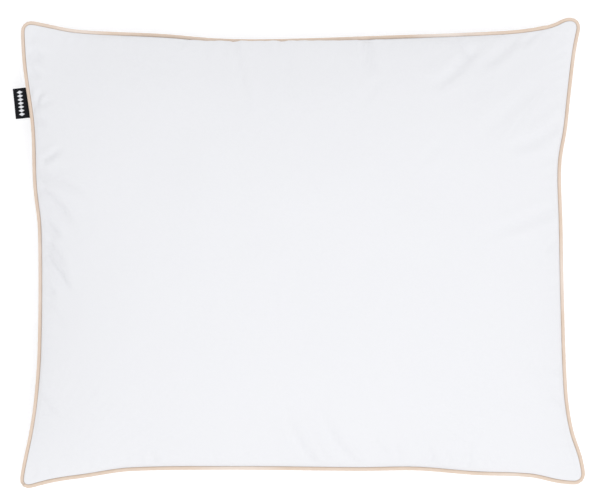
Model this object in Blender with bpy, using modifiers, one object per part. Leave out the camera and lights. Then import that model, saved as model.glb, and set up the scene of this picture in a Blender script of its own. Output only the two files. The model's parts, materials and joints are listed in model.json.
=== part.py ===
# Bed pillow with a piped edge: two sewn panels, cord piping, filling, threads and two labels.
# Metres, +Z up. The pillow lies flat, with its origin at the centre of the face it rests on.
# The long sides run along X and the short sides along Y; front is -Y and left is -X.
#
# Everything near the edge is drawn in the seam's own section: n is the distance outward from
# the stitch line and u is the height above it.

import math

import bmesh
import bpy
from mathutils import Matrix, Vector
from mathutils.geometry import interpolate_bezier

# Overall shape
LENGTH = 0.600              # over the piping, along X
WIDTH = 0.500               # over the piping, along Y
SEAM_HEIGHT = 0.053         # stitch line above the resting face, halfway along a side
CORNER_DROP = 0.011         # how much lower the stitch line runs at the corners
SEAM_WAVE = 0.0015          # gentle rise and fall of the edge between the corners
WAVES = 5
TOP_CROWN = 0.066           # rise of the top panel above the seam surface, at the middle
BASE_CROWN = 0.074          # fall of the bottom panel below it, before the floor stops it
ROUNDNESS = 0.5             # exponent of the crown: smaller is squarer

# Outline: the corners as shares of the half sizes, in order, counter-clockwise from above
CORNERS = [(-1.000, -1.000), (1.005, -0.990), (0.995, 1.004), (-1.000, 0.988)]
CORNER_REACH = 0.021        # distance from a corner's point at which its rounding starts
CORNER_TENSION = 0.5        # how far the rounding leans into the corner

# How far each side pulls in from the straight line between its corners, as pairs of
# (share of the way along the side, depth), in the same order as the corners.
SIDE_PULLS = [
    [(0.06, 0.010), (0.12, 0.015), (0.20, 0.0215), (0.40, 0.0225), (0.60, 0.021),
     (0.70, 0.021), (0.80, 0.016), (0.90, 0.012), (0.95, 0.0075)],
    [(0.06, 0.0075), (0.12, 0.017), (0.20, 0.021), (0.40, 0.024), (0.55, 0.025),
     (0.68, 0.027), (0.83, 0.017), (0.93, 0.0105)],
    [(0.06, 0.0065), (0.14, 0.016), (0.38, 0.020), (0.54, 0.0225), (0.65, 0.021),
     (0.74, 0.016), (0.87, 0.013), (0.94, 0.0075)],
    [(0.10, 0.005), (0.23, 0.013), (0.36, 0.016), (0.45, 0.021), (0.70, 0.021),
     (0.87, 0.0115), (0.95, 0.004)],
]
SIDE_STEPS = [14, 12, 14, 12]   # straight stretches along each side
CORNER_STEPS = 4                # and round each corner

# Cloth, cord and thread
CLOTH = 0.0004              # casing cloth
ALLOWANCE = 0.0050          # casing and piping cloth turned inside the seam
PIPING_CLOTH = 0.0004
CORD_RADIUS = 0.0014
THREAD_RADIUS = 0.0002
FIT = 0.0003                # clearance between neighbouring layers
FOLD_INSET = 0.0005         # the panel turns back this far inside the stitch line
FILLING_GAP = 0.0010        # the filling lies this far inside the casing, measured upright
FILLING_INSET = 0.001       # and this far inside the seam allowance
OPENING_LENGTH = 0.160      # filling opening in the front seam, closed by hand

# Labels
BRAND_LABEL = {
    "along": 0.033,         # length along the seam
    "out": 0.0134,          # depth of the folded loop that shows
    "ply": 0.0003,
    "gap": 0.0002,          # between the two plies
    "from_back": 0.080,     # centre of the label from the back end of the left side
}
BRAND_HINGE_DROP = 0.0014   # hinge line below the stitch line
BRAND_HINGE_GAP = 0.0002    # from the piping to the label when it is folded straight up
CARE_LABEL = {
    "along": 0.028,
    "down": 0.042,
    "ply": 0.0003,
    "from_front": 0.125,    # centre of the label from the front end of the left side
}
CARE_HINGE = (0.0012, -0.0025)   # n, u of the line it hangs from

# Section of the seam, worked out from the layers
LEG_U = FIT / 2 + PIPING_CLOTH / 2
ALLOWANCE_U = LEG_U + PIPING_CLOTH / 2 + FIT + CLOTH / 2
THREAD_U = ALLOWANCE_U + CLOTH / 2 + FIT + THREAD_RADIUS
PANEL_U = 2 * THREAD_U - ALLOWANCE_U
FOLD_RADIUS = THREAD_U - ALLOWANCE_U
FOLD_OUTER = FOLD_RADIUS + CLOTH / 2
COVER_RADIUS = CORD_RADIUS + FIT + PIPING_CLOTH / 2
COVER_OUTER = COVER_RADIUS + PIPING_CLOTH / 2
CORD_N = math.sqrt((COVER_OUTER + FOLD_OUTER + FIT) ** 2 - THREAD_U ** 2) - FOLD_INSET
PIPING_REACH = CORD_N + COVER_OUTER

FOLD_STEPS = 3
COVER_STEPS = 10
RING = 0.1                  # radius at which sections are spun before they go onto the seam
RIM = 2                     # columns and rows of the panel's grid outside the filling
MERGE = 1e-6

COLORS = {
    "casing": ((0.89, 0.90, 0.93, 1), 0.85),
    "piping": ((0.74, 0.60, 0.49, 1), 0.45),
    "cord": ((0.86, 0.84, 0.79, 1), 0.9),
    "filling": ((0.95, 0.95, 0.94, 1), 0.95),
    "thread": ((0.92, 0.92, 0.92, 1), 0.6),
    "brand_label": ((0.012, 0.013, 0.018, 1), 0.7),
    "care_label": ((0.93, 0.93, 0.93, 1), 0.4),
}


# ---- outline of the seam

def smooth_value(points, t):
    """Value at t of a smooth curve through (t, value) points."""
    slopes = []
    for k in range(len(points)):
        before, after = points[max(k - 1, 0)], points[min(k + 1, len(points) - 1)]
        slopes.append((after[1] - before[1]) / (after[0] - before[0]))
    k = max(i for i in range(len(points) - 1) if points[i][0] <= t or i == 0)
    (t0, v0), (t1, v1) = points[k], points[k + 1]
    span = t1 - t0
    s = (t - t0) / span
    return (
        v0 * (2 * s ** 3 - 3 * s ** 2 + 1)
        + v1 * (3 * s ** 2 - 2 * s ** 3)
        + slopes[k] * span * (s ** 3 - 2 * s ** 2 + s)
        + slopes[k + 1] * span * (s ** 3 - s ** 2)
    )


def corner_point(k):
    x, y = CORNERS[k % 4]
    return Vector((x * LENGTH / 2, y * WIDTH / 2))


def side_point(side, t):
    """Point at share t along a side, before its corners are rounded."""
    start, end = corner_point(side), corner_point(side + 1)
    along = end - start
    inward = Vector((-along.y, along.x)).normalized()
    pull = smooth_value([(0, 0), *SIDE_PULLS[side], (1, 0)], t)
    return start + along * t + inward * pull


def outline():
    """Outside of the piping from above, from the middle of the first corner round to it."""
    points = []
    half = CORNER_STEPS // 2
    for side, steps in enumerate(SIDE_STEPS):
        reach = CORNER_REACH / (corner_point(side + 1) - corner_point(side)).length
        last = (side - 1) % 4
        last_reach = CORNER_REACH / (corner_point(side) - corner_point(last)).length
        tip = corner_point(side)
        before = side_point(last, 1 - last_reach)
        after = side_point(side, reach)
        arc = interpolate_bezier(
            before, before.lerp(tip, CORNER_TENSION), after.lerp(tip, CORNER_TENSION),
            after, CORNER_STEPS + 1,
        )
        points += arc[:-1]
        points += [side_point(side, reach + (1 - 2 * reach) * i / steps) for i in range(steps)]
    loop = [Vector(p[:2]) for p in points[half:] + points[:half]]
    low = Vector((min(p.x for p in loop), min(p.y for p in loop)))
    high = Vector((max(p.x for p in loop), max(p.y for p in loop)))
    middle, size = (low + high) / 2, high - low
    return [
        Vector(((p.x - middle.x) * LENGTH / size.x, (p.y - middle.y) * WIDTH / size.y))
        for p in loop
    ]


def seam_height(p):
    """Height of the stitch line at p: lowest, and level, round the corners."""
    share = abs(p.x) / (LENGTH / 2) * abs(p.y) / (WIDTH / 2)
    drop = CORNER_DROP * math.sin(math.pi / 2 * share ** 2) ** 2
    return SEAM_HEIGHT - drop + SEAM_WAVE * math.sin(WAVES * math.atan2(p.y, p.x))


def seam_frames():
    """(point of the stitch line, outward direction) at each station round the pillow."""
    loop = outline()
    frames = []
    for k, p in enumerate(loop):
        before = (p - loop[k - 1]).normalized()
        after = (loop[(k + 1) % len(loop)] - p).normalized()
        tangent = (before + after).normalized()
        out = Vector((tangent.y, -tangent.x))
        stitch = p - out * PIPING_REACH
        frames.append((Vector((*stitch, seam_height(p))), Vector((*out, 0))))
    return frames


SEAM = seam_frames()
COLUMNS = SIDE_STEPS[0] + CORNER_STEPS
ROWS = SIDE_STEPS[1] + CORNER_STEPS


def at_section(frame, n, u):
    point, out = frame
    return point + out * n + Vector((0, 0, u))


def seam_length(stations=None):
    """Length of the stitch line from its start over so many stations, or all the way round."""
    count = len(SEAM) if stations is None else stations
    return sum((SEAM[(k + 1) % len(SEAM)][0] - SEAM[k][0]).length for k in range(count))


def seam_run(start, end):
    """Frames from start to end, distances along the seam, with every station in between."""
    run, travelled = [], 0
    k = 0
    while travelled < end and k < 2 * len(SEAM):
        (p, out_p), (q, out_q) = SEAM[k % len(SEAM)], SEAM[(k + 1) % len(SEAM)]
        step = (q - p).length
        for distance in (start, end):
            if travelled <= distance < travelled + step:
                share = (distance - travelled) / step
                run.append((distance, (p.lerp(q, share), out_p.lerp(out_q, share).normalized())))
        if start < travelled + step < end:
            run.append((travelled + step, (q, out_q)))
        travelled += step
        k += 1
    return [frame for _, frame in sorted(run, key=lambda item: item[0])]


# ---- building blocks

def add_object(name, data, slot, collection, place=None):
    obj = bpy.data.objects.new(name, data)
    collection.objects.link(obj)
    obj.data.materials.append(material(slot))
    if place:
        obj.matrix_world = place
    return obj


def material(slot):
    found = bpy.data.materials.get(slot)
    if found:
        return found
    made = bpy.data.materials.new(slot)
    made.use_nodes = True
    shader = made.node_tree.nodes["Principled BSDF"]
    color, roughness = COLORS[slot]
    shader.inputs["Base Color"].default_value = color
    shader.inputs["Roughness"].default_value = roughness
    shader.inputs["Metallic"].default_value = 0
    return made


def mesh_from(bm, name):
    bmesh.ops.recalc_face_normals(bm, faces=bm.faces)
    data = bpy.data.meshes.new(name)
    bm.to_mesh(data)
    bm.free()
    data.shade_smooth()
    data.set_sharp_from_angle(angle=math.radians(50))
    return data


def thicken(obj, thickness):
    solidify = obj.modifiers.new("thickness", "SOLIDIFY")
    solidify.thickness = thickness
    solidify.offset = 0
    solidify.use_even_offset = True
    solidify.use_quality_normals = True


def spin_section(bm, section):
    """Spin an open section of (n, u) points a full turn and lay it along the seam."""
    known = set(bm.verts)
    verts = [bm.verts.new((RING + n, 0, u)) for n, u in section]
    edges = [bm.edges.new(pair) for pair in zip(verts, verts[1:])]
    bmesh.ops.spin(
        bm, geom=verts + edges, cent=(0, 0, 0), axis=(0, 0, 1), dvec=(0, 0, 0),
        angle=math.tau, steps=len(SEAM), use_merge=True,
    )
    for v in bm.verts:
        if v not in known:
            station = round(math.atan2(v.co.y, v.co.x) / math.tau * len(SEAM)) % len(SEAM)
            v.co = at_section(SEAM[station], math.hypot(v.co.x, v.co.y) - RING, v.co.z)


def grid_station(i, j):
    """Seam station beside column i and row j of a grid's edge."""
    if j == 0:
        return i
    if i == COLUMNS:
        return COLUMNS + j
    if j == ROWS:
        return 2 * COLUMNS + ROWS - i
    return (2 * (COLUMNS + ROWS) - j) % len(SEAM)


def panel_edge(i, j, side):
    return at_section(SEAM[grid_station(i, j)], -FOLD_INSET, side * PANEL_U)


def panel_point(i, j, side):
    """Point of the top (side 1) or bottom (side -1) panel at column i and row j."""
    front, back = panel_edge(i, 0, side), panel_edge(i, ROWS, side)
    left, right = panel_edge(0, j, side), panel_edge(COLUMNS, j, side)
    low_left, low_right = panel_edge(0, 0, side), panel_edge(COLUMNS, 0, side)
    high_left, high_right = panel_edge(0, ROWS, side), panel_edge(COLUMNS, ROWS, side)
    a = (front.x + back.x - low_left.x - high_left.x) / (
        low_right.x + high_right.x - low_left.x - high_left.x)
    b = (left.y + right.y - low_left.y - low_right.y) / (
        high_left.y + high_right.y - low_left.y - low_right.y)
    point = front.lerp(back, b) + left.lerp(right, a)
    point -= low_left.lerp(low_right, a).lerp(high_left.lerp(high_right, a), b)
    swell = ((1 - (2 * a - 1) ** 2) * (1 - (2 * b - 1) ** 2)) ** ROUNDNESS
    if side > 0:
        point.z += TOP_CROWN * swell
    else:
        point.z = max(point.z - BASE_CROWN * swell, CLOTH / 2)
    return point


def panel_grid(bm, side, margin, lift):
    """The panel's grid without its outer columns and rows; returns its vertices by place."""
    columns, rows = COLUMNS - 2 * margin, ROWS - 2 * margin
    made = bmesh.ops.create_grid(bm, x_segments=columns, y_segments=rows, size=1)
    placed = {}
    for v in made["verts"]:
        i = margin + round((v.co.x + 1) / 2 * columns)
        j = margin + round((v.co.y + 1) / 2 * rows)
        v.co = panel_point(i, j, side) + Vector((0, 0, lift))
        placed[i, j] = v
    return placed


def tube(name, frames, n, u, radius, slot, collection, closed=False, resolution=2):
    """Round cord or thread that follows the seam at n, u of its section."""
    curve = bpy.data.curves.new(name, "CURVE")
    curve.dimensions = "3D"
    curve.twist_mode = "Z_UP"
    curve.bevel_depth = radius
    curve.bevel_resolution = resolution
    curve.use_fill_caps = not closed
    spline = curve.splines.new("POLY")
    spline.points.add(len(frames) - 1)
    for point, frame in zip(spline.points, frames):
        point.co = (*at_section(frame, n, u), 1)
    spline.use_cyclic_u = closed
    return add_object(name, curve, slot, collection)


def seat_under(first, second, clear):
    """Lower place at clear from two circles, each (n, u, radius)."""
    reach_a, reach_b = first[2] + clear, second[2] + clear
    a, b = Vector(first[:2]), Vector(second[:2])
    gap = (b - a).length
    along = (reach_a ** 2 - reach_b ** 2 + gap ** 2) / (2 * gap)
    across = math.sqrt(reach_a ** 2 - along ** 2)
    way = (b - a) / gap
    return a + way * along + Vector((way.y, -way.x)) * across


# ---- pieces

def make_panel(name, side, collection):
    """Casing cloth: its turned-in allowance, the fold at the stitch line and the crowned panel."""
    fold = [
        (FOLD_RADIUS * math.cos(angle) - FOLD_INSET, FOLD_RADIUS * math.sin(angle) + THREAD_U)
        for angle in (math.pi * (k / FOLD_STEPS - 0.5) for k in range(FOLD_STEPS + 1))
    ]
    section = [(-ALLOWANCE, ALLOWANCE_U), *fold]
    bm = bmesh.new()
    panel_grid(bm, side, 0, 0)
    spin_section(bm, [(n, side * u) for n, u in section])
    bmesh.ops.remove_doubles(bm, verts=bm.verts, dist=MERGE)
    obj = add_object(name, mesh_from(bm, name), "casing", collection)
    thicken(obj, CLOTH)


def make_piping_cover(collection):
    """Bias strip wrapped round the cord, with both edges flat in the seam."""
    mouth = math.asin(LEG_U / COVER_RADIUS)
    sweep = 2 * (math.pi - mouth)
    section = [(-ALLOWANCE, LEG_U)]
    for k in range(COVER_STEPS + 1):
        angle = math.pi - mouth - sweep * k / COVER_STEPS
        section.append((CORD_N + COVER_RADIUS * math.cos(angle), COVER_RADIUS * math.sin(angle)))
    section.append((-ALLOWANCE, -LEG_U))
    bm = bmesh.new()
    spin_section(bm, section)
    obj = add_object("piping_cover", mesh_from(bm, "piping_cover"), "piping", collection)
    thicken(obj, PIPING_CLOTH)


def make_filling(collection):
    """Fibre filling: the casing's shape set in, drawn to a blunt edge behind the allowance."""
    bm = bmesh.new()
    for side in (1, -1):
        placed = panel_grid(bm, side, RIM, -side * FILLING_GAP)
        rim = [v for v in placed.values() if v.is_boundary]
        where = {v: key for key, v in placed.items()}
        edges = [e for e in {e for v in rim for e in v.link_edges} if e.is_boundary]
        made = bmesh.ops.extrude_edge_only(bm, edges=edges)["geom"]
        nose = [v for v in made if isinstance(v, bmesh.types.BMVert)]
        for v in nose:
            source = min(rim, key=lambda r: (r.co - v.co).length)
            i, j = where[source]
            i = {RIM: 0, COLUMNS - RIM: COLUMNS}.get(i, i)
            j = {RIM: 0, ROWS - RIM: ROWS}.get(j, j)
            frame = SEAM[grid_station(i, j)]
            v.co = at_section(frame, -ALLOWANCE - FILLING_INSET, 0)
    bmesh.ops.remove_doubles(bm, verts=bm.verts, dist=MERGE)
    add_object("filling", mesh_from(bm, "filling"), "filling", collection)


def make_threads(collection):
    """Needle and bobbin threads of the seam, and the hand stitch that closes its opening."""
    left_end = (seam_length(COLUMNS) - OPENING_LENGTH) / 2
    right_end = left_end + OPENING_LENGTH
    sewn = seam_run(right_end, seam_length() + left_end)
    n = -FOLD_INSET - FIT
    for name, side in (("seam_needle_thread", 1), ("seam_bobbin_thread", -1)):
        tube(name, sewn, n, side * THREAD_U, THREAD_RADIUS, "thread", collection, resolution=1)
    groove = seat_under(
        (-FOLD_INSET, -THREAD_U, FOLD_OUTER), (CORD_N, 0, COVER_OUTER), FIT + THREAD_RADIUS)
    closed_by_hand = seam_run(left_end, right_end)
    tube("closing_stitch", closed_by_hand, groove.x, groove.y, THREAD_RADIUS, "thread",
         collection, resolution=1)


def label_place(middle, along, n, u):
    """Matrix of a label: X along the seam towards the back, Y outward, Z up."""
    ends = [seam_run(middle + s * along / 2, middle + 1)[0] for s in (-1, 1)]
    towards_front = (ends[1][0] - ends[0][0]).normalized()
    out = ends[0][1].lerp(ends[1][1], 0.5)
    across = -towards_front
    up = across.cross(out).normalized()
    out = up.cross(across).normalized()
    place = (ends[0][0] + ends[1][0]) / 2 + out * n + up * u
    return Matrix.Translation(place) @ Matrix((across, out, up)).transposed().to_4x4()


def extrude_strip(section, along):
    """Open strip: a section of (y, z) points drawn out along X, centred."""
    bm = bmesh.new()
    verts = [bm.verts.new((-along / 2, y, z)) for y, z in section]
    edges = [bm.edges.new(pair) for pair in zip(verts, verts[1:])]
    made = bmesh.ops.extrude_edge_only(bm, edges=edges)["geom"]
    moved = [v for v in made if isinstance(v, bmesh.types.BMVert)]
    bmesh.ops.translate(bm, verts=moved, vec=(along, 0, 0))
    return bm


def make_brand_label(collection):
    """Woven tab folded double, hinged on the line where it comes out under the piping."""
    size = BRAND_LABEL
    half = (size["gap"] + size["ply"]) / 2
    thick = half + size["ply"] / 2
    turn = [math.pi * (0.5 - k / 4) for k in range(5)]
    tip = size["out"] - thick
    section = [(0, half), *((tip + half * math.cos(a), half * math.sin(a)) for a in turn), (0, -half)]
    middle = seam_length(2 * COLUMNS + ROWS) + size["from_back"]
    place = label_place(middle, size["along"], PIPING_REACH + BRAND_HINGE_GAP + thick,
                        -BRAND_HINGE_DROP)
    data = mesh_from(extrude_strip(section, size["along"]), "brand_label")
    thicken(add_object("brand_label", data, "brand_label", collection, place), size["ply"])


def make_care_label(collection):
    """Satin ribbon that hangs from the seam, under the piping."""
    size = CARE_LABEL
    middle = seam_length() - size["from_front"]
    place = label_place(middle, size["along"], *CARE_HINGE)
    data = mesh_from(extrude_strip([(0, 0), (0, -size["down"])], size["along"]), "care_label")
    thicken(add_object("care_label", data, "care_label", collection, place), size["ply"])


def build():
    for obj in list(bpy.data.objects):
        bpy.data.objects.remove(obj, do_unlink=True)
    collection = bpy.data.collections.new("bed_pillow")
    bpy.context.scene.collection.children.link(collection)
    make_panel("top_panel", 1, collection)
    make_panel("bottom_panel", -1, collection)
    make_piping_cover(collection)
    tube("piping_cord", SEAM, CORD_N, 0, CORD_RADIUS, "cord", collection, closed=True)
    make_filling(collection)
    make_threads(collection)
    make_brand_label(collection)
    make_care_label(collection)


build()
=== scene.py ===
# Looks of a bed pillow with a piped edge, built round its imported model.
# Metres, +Z up. The long sides run along X; front is -Y and left is -X.
# Near the edge, n is the distance outward from the stitch line and u the height above it.

import json
import math

import bpy
import numpy as np
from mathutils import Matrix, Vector, noise
from mathutils.geometry import interpolate_bezier
from mathutils.kdtree import KDTree


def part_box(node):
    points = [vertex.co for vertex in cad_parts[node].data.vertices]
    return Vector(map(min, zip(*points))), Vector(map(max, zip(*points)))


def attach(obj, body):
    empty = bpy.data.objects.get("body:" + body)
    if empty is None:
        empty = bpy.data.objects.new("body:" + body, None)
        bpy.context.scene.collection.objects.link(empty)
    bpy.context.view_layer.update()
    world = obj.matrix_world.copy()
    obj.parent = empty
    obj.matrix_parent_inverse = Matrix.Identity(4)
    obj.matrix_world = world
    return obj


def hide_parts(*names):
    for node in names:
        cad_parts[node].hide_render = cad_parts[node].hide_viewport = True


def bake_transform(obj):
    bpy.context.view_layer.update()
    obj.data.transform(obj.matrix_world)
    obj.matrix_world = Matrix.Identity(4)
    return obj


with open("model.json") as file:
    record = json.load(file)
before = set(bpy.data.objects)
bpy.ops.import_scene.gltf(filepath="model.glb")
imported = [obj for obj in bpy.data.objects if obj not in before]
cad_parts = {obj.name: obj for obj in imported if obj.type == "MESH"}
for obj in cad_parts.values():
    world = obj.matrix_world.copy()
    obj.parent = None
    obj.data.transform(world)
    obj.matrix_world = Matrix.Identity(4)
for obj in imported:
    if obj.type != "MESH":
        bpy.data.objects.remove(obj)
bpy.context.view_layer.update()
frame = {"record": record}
scene = bpy.context.scene

# Outline of the pillow, over its piping: corners as shares of the half sizes, from the front
# left one, and how far each side pulls in, as (share of the way along, depth).
edge = {
    "corners": [(-1.000, -1.000), (1.005, -0.974), (0.998, 1.007), (-1.000, 1.000)],
    "cornerReach": 0.0145,    # from a corner's point to where its rounding starts
    "cornerTension": 0.55,
    "sidePulls": [
        [(0.06, 0.0094), (0.12, 0.0145), (0.20, 0.0208), (0.40, 0.0208), (0.60, 0.0184),
         (0.70, 0.0183), (0.80, 0.0129), (0.90, 0.0096), (0.95, 0.0029)],
        [(0.06, 0.0055), (0.12, 0.0152), (0.20, 0.021), (0.40, 0.024), (0.55, 0.025),
         (0.68, 0.0258), (0.76, 0.0192), (0.83, 0.0150), (0.93, 0.0080)],
        [(0.033, 0.0014), (0.050, 0.0066), (0.075, 0.0107), (0.14, 0.0155), (0.38, 0.0214),
         (0.54, 0.0243), (0.65, 0.0233), (0.74, 0.0184), (0.87, 0.0141), (0.91, 0.0116), (0.94, 0.0078)],
        [(0.10, 0.0035), (0.23, 0.013), (0.36, 0.016), (0.45, 0.021), (0.70, 0.021),
         (0.80, 0.0175), (0.87, 0.0125), (0.95, 0.0040)],
    ],
    "seamHeight": 0.053,      # stitch line above the floor, halfway along a side
    "cornerDrop": 0.011,      # how much lower it runs at the corners
    "seamWave": 0.0015,
    "waves": 5,
    "sideSteps": 120,
    "cornerSteps": 24,
    "stations": 1440,         # even stations round the finished loop
    "smoothing": 6,
    "extra": (0.0005, 0.0016),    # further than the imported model, to the right and the back
}

# Layers of the seam
layers = {
    "casing": 0.0004,
    "allowance": 0.0050,      # cloth turned inside the seam
    "piping": 0.0004,
    "cord": 0.0014,           # radius
    "thread": 0.0002,         # radius
    "fit": 0.0003,            # between neighbouring layers
    "foldInset": 0.0005,      # the panel turns back this far inside the stitch line
}
legU = layers["fit"] / 2 + layers["piping"] / 2
allowanceU = legU + layers["piping"] / 2 + layers["fit"] + layers["casing"] / 2
threadU = allowanceU + layers["casing"] / 2 + layers["fit"] + layers["thread"]
panelU = 2 * threadU - allowanceU
foldRadius = threadU - allowanceU
coverRadius = layers["cord"] + layers["fit"] + layers["piping"] / 2
coverOuter = coverRadius + layers["piping"] / 2
foldOuter = foldRadius + layers["casing"] / 2
cordN = math.sqrt((coverOuter + foldOuter + layers["fit"]) ** 2 - threadU ** 2) - layers["foldInset"]
pipingReach = cordN + coverOuter


def smoothValue(points, t):
    # value at t of a smooth curve through (t, value) points
    slopes = []
    for k in range(len(points)):
        before, after = points[max(k - 1, 0)], points[min(k + 1, len(points) - 1)]
        slopes.append((after[1] - before[1]) / (after[0] - before[0]))
    k = max(i for i in range(len(points) - 1) if points[i][0] <= t or i == 0)
    (t0, v0), (t1, v1) = points[k], points[k + 1]
    span = t1 - t0
    s = (t - t0) / span
    return (v0 * (2 * s ** 3 - 3 * s ** 2 + 1) + v1 * (3 * s ** 2 - 2 * s ** 3)
            + slopes[k] * span * (s ** 3 - 2 * s ** 2 + s) + slopes[k + 1] * span * (s ** 3 - s ** 2))


def sidePoint(corners, side, t):
    start, end = corners[side], corners[(side + 1) % 4]
    along = end - start
    inward = Vector((-along.y, along.x)).normalized()
    return start + along * t + inward * smoothValue([(0, 0), *edge["sidePulls"][side], (1, 0)], t)


def evenLoop(points, count):
    # the same closed loop, as evenly spaced points
    closed = np.vstack([points, points[:1]])
    travel = np.concatenate([[0], np.cumsum(np.linalg.norm(np.diff(closed, axis=0), axis=1))])
    wanted = np.arange(count) * travel[-1] / count
    return np.stack([np.interp(wanted, travel, column) for column in closed.T], axis=1)


def outlineLoop(low, high):
    # outside of the piping from above, counter-clockwise from the middle of the first corner
    size = high - low
    corners = [Vector((x * size.x / 2, y * size.y / 2)) for x, y in edge["corners"]]
    points = []
    for side in range(4):
        last = (side - 1) % 4
        reach = edge["cornerReach"] / (corners[(side + 1) % 4] - corners[side]).length
        lastReach = edge["cornerReach"] / (corners[side] - corners[last]).length
        tip = corners[side]
        before = sidePoint(corners, last, 1 - lastReach)
        after = sidePoint(corners, side, reach)
        tension = edge["cornerTension"]
        arc = interpolate_bezier(before, before.lerp(tip, tension), after.lerp(tip, tension),
                                 after, edge["cornerSteps"] + 1)
        points += [p[:2] for p in arc[:-1]]
        points += [sidePoint(corners, side, reach + (1 - 2 * reach) * i / edge["sideSteps"])[:2]
                   for i in range(edge["sideSteps"])]
    loop = evenLoop(np.array(points), edge["stations"])
    for _ in range(edge["smoothing"]):
        loop = (np.roll(loop, 1, axis=0) + 2 * loop + np.roll(loop, -1, axis=0)) / 4
    span = loop.max(axis=0) - loop.min(axis=0)
    loop = (loop - (loop.max(axis=0) + loop.min(axis=0)) / 2) * np.array(size[:2]) / span
    loop += np.array(((high + low) / 2)[:2])
    first = int(np.argmin(loop @ np.array([1 / size.x, 1 / size.y])))
    return np.roll(loop, -first, axis=0)


def seamLine():
    # stitch line and outward direction at each station, distance travelled, and the corners' distances
    low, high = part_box("piping_cover")
    high += Vector((*edge["extra"], 0))
    loop = outlineLoop(low, high)
    half = np.array((high - low)[:2]) / 2
    tangent = np.roll(loop, -1, axis=0) - np.roll(loop, 1, axis=0)
    tangent /= np.linalg.norm(tangent, axis=1)[:, None]
    out = np.stack([tangent[:, 1], -tangent[:, 0], np.zeros(len(loop))], axis=1)
    share = np.abs(loop / half).prod(axis=1)
    drop = edge["cornerDrop"] * np.sin(math.pi / 2 * share ** 2) ** 2
    angle = np.arctan2(loop[:, 1], loop[:, 0])
    height = edge["seamHeight"] - drop + edge["seamWave"] * np.sin(edge["waves"] * angle)
    stitch = np.column_stack([loop, height]) - out * pipingReach
    steps = np.linalg.norm(np.roll(stitch, -1, axis=0) - stitch, axis=1)
    travel = np.concatenate([[0], np.cumsum(steps)])
    signs = [(-1, -1), (1, -1), (1, 1), (-1, 1)]
    corners = [travel[int(np.argmax(loop @ (np.array(s) / half)))] for s in signs]
    return stitch, out, travel, corners


seamPoints, seamOuts, seamTravel, cornerTravel = seamLine()
seamTotal = seamTravel[-1]
up = np.array([0, 0, 1.0])


def seamAt(distances):
    # stitch points and outward directions at distances along the seam
    wanted = np.asarray(distances) % seamTotal
    pick = lambda values: np.stack(
        [np.interp(wanted, seamTravel, np.append(column, column[0])) for column in values.T], axis=-1)
    out = pick(seamOuts)
    return pick(seamPoints), out / np.linalg.norm(out, axis=-1, keepdims=True)


def sectionAt(distances, n, u):
    # points at n, u of the seam's section; n and u may be arrays as long as distances
    point, out = seamAt(distances)
    return point + out * np.asarray(n)[..., None] + up * np.asarray(u)[..., None]


def smoothStep(x):
    x = np.clip(x, 0, 1)
    return x * x * (3 - 2 * x)


def noiseAt(points, scale, seed):
    # smooth noise from -1 to 1 at each point
    shift = Vector((17.3 * seed, 5.1 * seed, 9.7 * seed))
    return np.array([noise.noise(Vector(p) / scale + shift) for p in points])


def gridFaces(columns, rows, first=0, flip=False):
    # quads of a grid of vertices stored column by column, rows + 1 in each
    tall = rows + 1
    faces = []
    for i in range(columns):
        for j in range(rows):
            a = first + i * tall + j
            quad = (a, a + tall, a + tall + 1, a + 1)
            faces.append(quad[::-1] if flip else quad)
    return faces


def meshObject(name, vertices, faces, finish, flat=None):
    data = bpy.data.meshes.new(name)
    data.from_pydata([tuple(v) for v in vertices], [], faces)
    data.shade_smooth()
    if flat is not None:
        layer = data.attributes.new("clothFlat", "FLOAT_VECTOR", "POINT")
        layer.data.foreach_set("vector", np.asarray(flat, dtype=np.float32).ravel())
    obj = bpy.data.objects.new(name, data)
    scene.collection.objects.link(obj)
    data.materials.append(finish)
    return obj


def squareObject(name, half, height):
    # level square about the origin
    data = bpy.data.meshes.new(name)
    corners = [(x * half, y * half, height) for x, y in ((-1, -1), (1, -1), (1, 1), (-1, 1))]
    data.from_pydata(corners, [], [(0, 1, 2, 3)])
    obj = bpy.data.objects.new(name, data)
    scene.collection.objects.link(obj)
    return obj


def thicken(obj, thickness):
    solid = obj.modifiers.new("thickness", "SOLIDIFY")
    solid.thickness = thickness
    solid.offset = 0


# Shader maths: a Signal is one socket, and sums of signals add Math nodes.
class Signal:
    def __init__(self, finish, socket):
        self.finish = finish
        self.socket = socket

    def __add__(self, other):
        return self.finish.maths("ADD", self, other)

    def __radd__(self, other):
        return self.finish.maths("ADD", other, self)

    def __sub__(self, other):
        return self.finish.maths("SUBTRACT", self, other)

    def __rsub__(self, other):
        return self.finish.maths("SUBTRACT", other, self)

    def __mul__(self, other):
        return self.finish.maths("MULTIPLY", self, other)

    def __rmul__(self, other):
        return self.finish.maths("MULTIPLY", other, self)

    def __truediv__(self, other):
        return self.finish.maths("DIVIDE", self, other)

    def __rtruediv__(self, other):
        return self.finish.maths("DIVIDE", other, self)


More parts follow.
